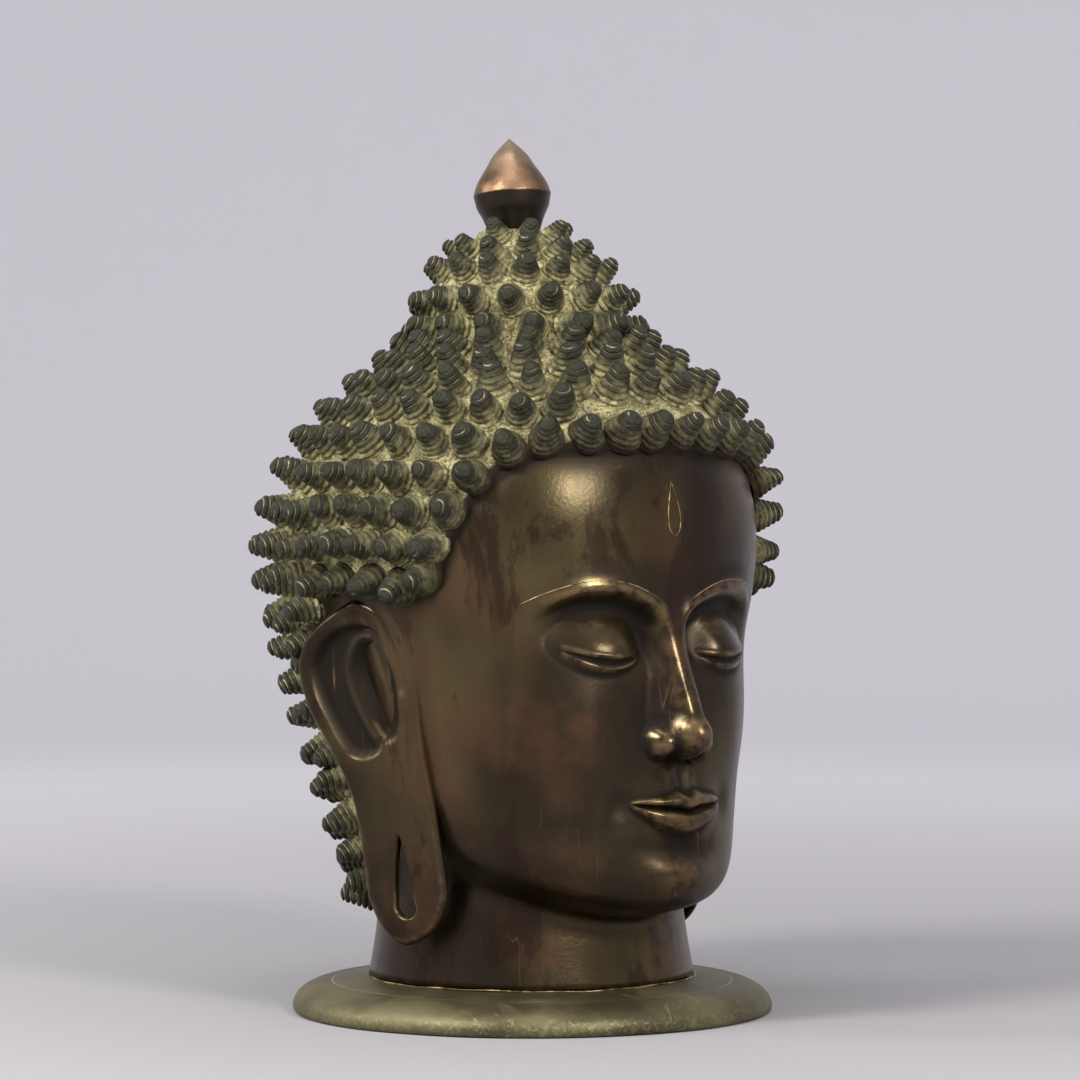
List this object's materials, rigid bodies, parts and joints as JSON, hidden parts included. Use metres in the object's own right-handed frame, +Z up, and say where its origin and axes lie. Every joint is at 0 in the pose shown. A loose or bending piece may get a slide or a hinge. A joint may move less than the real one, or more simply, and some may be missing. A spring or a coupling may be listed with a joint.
{
  "type": "brass buddha head",
  "caption": "Large cast brass head of a serene figure with snail-shell curls, a domed crown with a bud finial, long pierced ears and a flared neck ring to stand on.",
  "frame": {"origin": "centre of the neck ring's flat underside, on the axis of the neck", "axes": "+Z up, the face looks along -Y, the figure's right ear is on the -X side"},
  "size_m": [0.5384, 0.5874, 0.9036],
  "materials": {
    "head_brass": "dark brown patina with copper-red lights on the face and olive to khaki verdigris between the curls",
    "ring_brass": "dull olive-brown patina with light scratches and a worn, yellow-green edge",
    "finial_brass": "copper-brown and half polished above its widest line, nearly black below"
  },
  "bodies": {
    "root": {"head": "head_brass", "neck_ring": "ring_brass", "finial": "finial_brass"}
  },
  "joints": []
}
